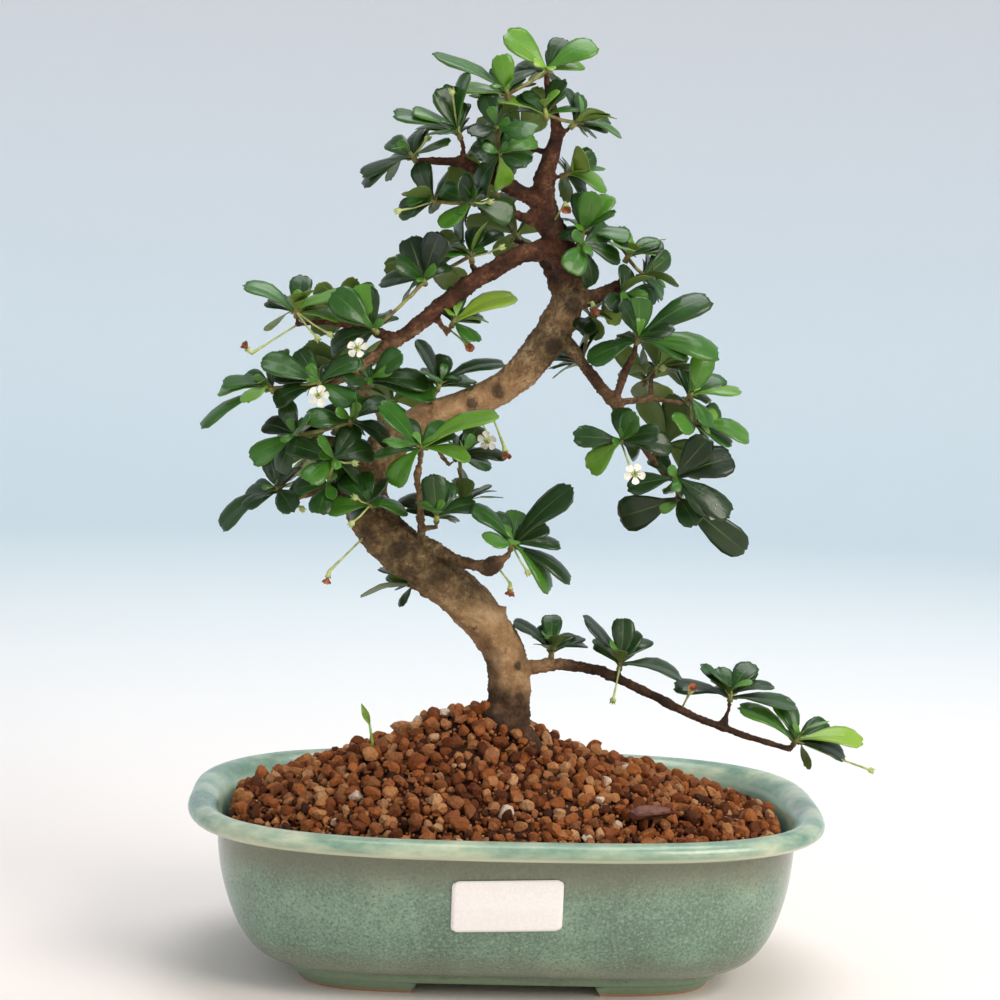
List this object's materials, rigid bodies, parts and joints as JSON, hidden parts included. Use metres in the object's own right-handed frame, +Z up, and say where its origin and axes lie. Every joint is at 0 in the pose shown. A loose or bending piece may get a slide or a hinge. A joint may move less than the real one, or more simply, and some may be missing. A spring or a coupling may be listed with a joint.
{
  "type": "fukien tea bonsai",
  "caption": "Fukien tea bonsai with an S-shaped trunk, wedge-shaped leaves and small white flowers in a glazed oval pot on low feet.",
  "frame": {"origin": "on the surface that the pot stands on, under the middle of the whole part's bounding box", "axes": "+X to the right as seen from the front, +Y to the back, +Z up along the tree"},
  "size_m": [0.2696, 0.185, 0.3679],
  "materials": {
    "bark": "rough bark",
    "leaf": "glossy leaf",
    "glazed_stoneware": "glazed",
    "clay_granules": "dry baked clay",
    "paper_label": "paper",
    "plastic_mesh": "moulded",
    "petal": "soft petal",
    "withered_petal": "dry petal",
    "weed": "soft leaf",
    "dead_leaf": "dry leaf"
  },
  "bodies": {
    "root": {"wood": "bark", "pot": "glazed_stoneware", "soil": "clay_granules", "label": "paper_label", "drainage_mesh_1": "plastic_mesh", "drainage_mesh_2": "plastic_mesh", "weed_sprout": "weed", "fallen_leaf": "dead_leaf", "flower_1": "petal", "flower_2": "petal", "flower_3": "petal", "flower_4": "petal", "flower_5": "petal", "withered_flower_1": "withered_petal", "withered_flower_2": "withered_petal", "withered_flower_3": "withered_petal", "withered_flower_4": "withered_petal", "withered_flower_5": "withered_petal", "withered_flower_6": "withered_petal", "withered_flower_7": "withered_petal", "withered_flower_8": "withered_petal", "shoot_back_crown": "leaf", "shoot_back_left": "leaf", "shoot_back_left_mid": "leaf", "shoot_back_right_low": "leaf", "shoot_back_shoulder": "leaf", "shoot_bend_front": "leaf", "shoot_bend_right": "leaf", "shoot_branch_base_shoot": "leaf", "shoot_crown_left": "leaf", "shoot_crown_left_tip": "leaf", "shoot_crown_low_front": "leaf", "shoot_crown_low_left": "leaf", "shoot_crown_right": "leaf", "shoot_crown_right_mid": "leaf", "shoot_crown_tip": "leaf", "shoot_left_high_front": "leaf", "shoot_left_high_tip": "leaf", "shoot_left_low_mid": "leaf", "shoot_left_low_tip": "leaf", "shoot_left_mid_back": "leaf", "shoot_left_mid_front": "leaf", "shoot_left_mid_inner": "leaf", "shoot_low_branch_1": "leaf", "shoot_low_branch_2": "leaf", "shoot_low_branch_3": "leaf", "shoot_low_branch_tip": "leaf", "shoot_right_far_tip": "leaf", "shoot_right_inner": "leaf", "shoot_right_low_left": "leaf", "shoot_right_low_tip": "leaf", "shoot_right_mid_back": "leaf", "shoot_right_stub_tip": "leaf", "shoot_right_top": "leaf", "shoot_shoulder_right": "leaf", "shoot_small_branch_tip": "leaf", "shoot_trunk_back_shoot": "leaf", "shoot_twig_top": "leaf", "shoot_upper_branch_right": "leaf", "shoot_upper_branch_top": "leaf"}
  },
  "joints": []
}
